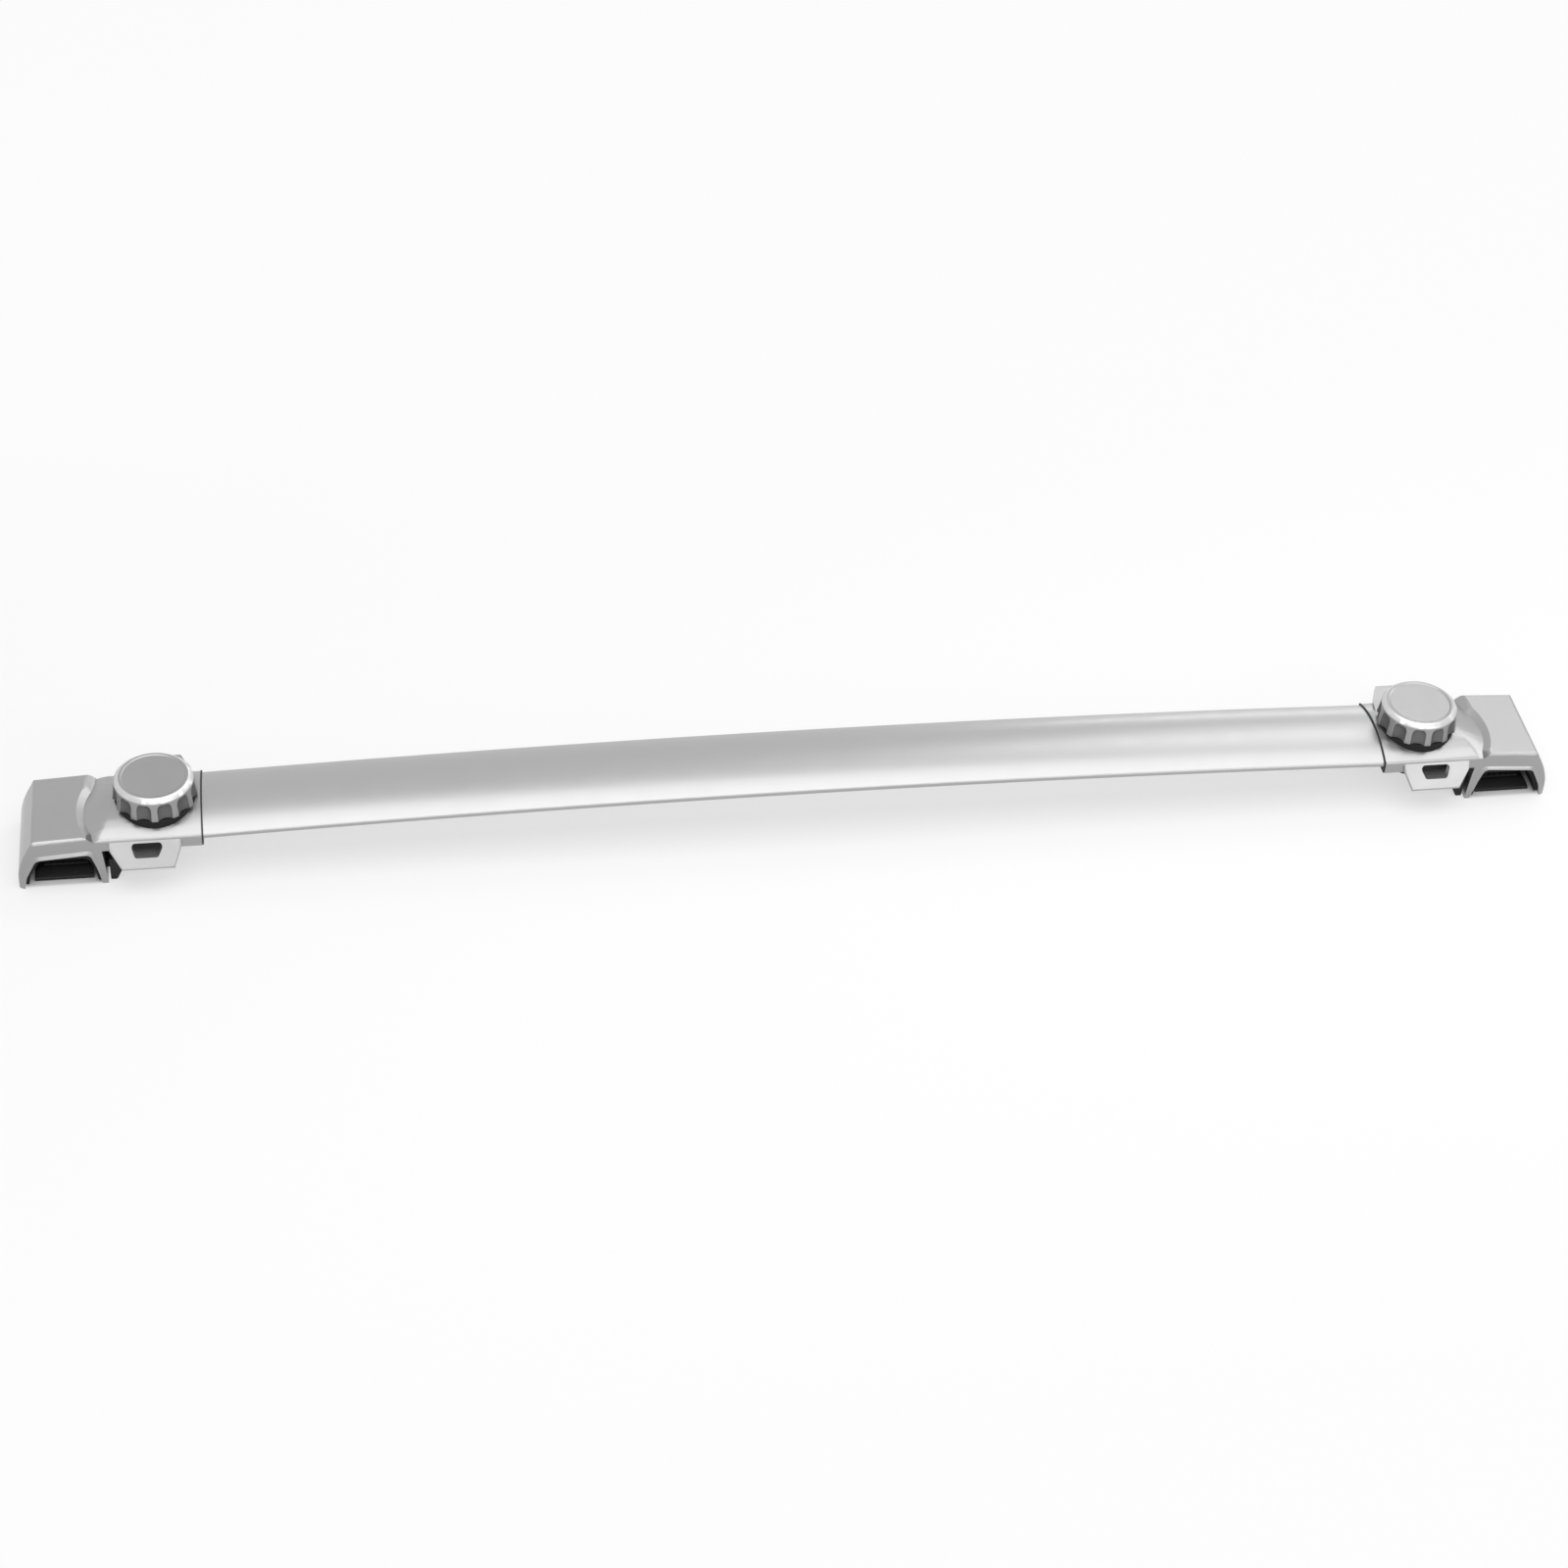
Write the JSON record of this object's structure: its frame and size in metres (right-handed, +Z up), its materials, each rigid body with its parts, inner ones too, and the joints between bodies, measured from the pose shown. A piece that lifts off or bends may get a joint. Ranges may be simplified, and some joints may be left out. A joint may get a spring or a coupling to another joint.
{
  "type": "roof rack crossbar",
  "caption": "Silver bowed aero roof crossbar between two clamp feet with fluted knobs, front tie-down eyelets, rear lugs and hoods that grip raised side rails.",
  "frame": {"origin": "middle of the bar's length and depth, on the plane that the hood tips stand on", "axes": "+X along the bar to its right-hand foot, +Y towards the vehicle's rear, +Z up"},
  "size_m": [1.1508, 0.096, 0.069],
  "materials": {
    "bar_silver": "satin silver paint",
    "foot_silver": "satin silver paint",
    "knob_silver": "silver moulded",
    "seal_rubber": "matte",
    "liner_rubber": "matte",
    "black_nylon": "fine grain",
    "black_jaw": "black powder coat",
    "zinc_steel": "zinc plated",
    "spring_steel": "bright"
  },
  "bodies": {
    "crossbar": {"bar": "bar_silver", "bar_screws": "zinc_steel", "base_screws": "zinc_steel", "foot_housing_left": "foot_silver", "foot_housing_right": "foot_silver", "seam_gasket_left": "seal_rubber", "seam_gasket_right": "seal_rubber", "base_plate_left": "black_nylon", "base_plate_right": "black_nylon", "rail_liner_left": "liner_rubber", "rail_liner_right": "liner_rubber", "return_spring_left": "spring_steel", "return_spring_right": "spring_steel"},
    "knob_left": {"knob_left": "knob_silver", "clamp_stud_left": "zinc_steel", "knob_washer_left": "zinc_steel", "stud_clip_left": "zinc_steel"},
    "jaw_left": {"clamp_jaw_left": "black_jaw", "jaw_nut_left": "zinc_steel", "jaw_grip_left": "liner_rubber"},
    "knob_right": {"knob_right": "knob_silver", "clamp_stud_right": "zinc_steel", "knob_washer_right": "zinc_steel", "stud_clip_right": "zinc_steel"},
    "jaw_right": {"clamp_jaw_right": "black_jaw", "jaw_nut_right": "zinc_steel", "jaw_grip_right": "liner_rubber"}
  },
  "joints": [
    {"name": "knob_turn_left", "type": "hinge", "parent": "crossbar", "child": "knob_left", "pos_m": [-0.475, 0, 0.0505], "axis": [0, 0, -1], "range_deg": [0, 2160]},
    {"name": "jaw_lift_left", "type": "slide", "parent": "crossbar", "child": "jaw_left", "axis": [0, 0, 1], "range_m": [0, 0.00755], "deforming": ["return_spring_left"]},
    {"name": "knob_turn_right", "type": "hinge", "parent": "crossbar", "child": "knob_right", "pos_m": [0.475, 0, 0.0505], "axis": [0, 0, -1], "range_deg": [0, 2160]},
    {"name": "jaw_lift_right", "type": "slide", "parent": "crossbar", "child": "jaw_right", "axis": [0, 0, 1], "range_m": [0, 0.00755], "deforming": ["return_spring_right"]}
  ],
  "couplings": [
    {"joint": "jaw_lift_left", "follows": "knob_turn_left", "m_per_rad": 0.00019894},
    {"joint": "jaw_lift_right", "follows": "knob_turn_right", "m_per_rad": 0.00019894}
  ]
}
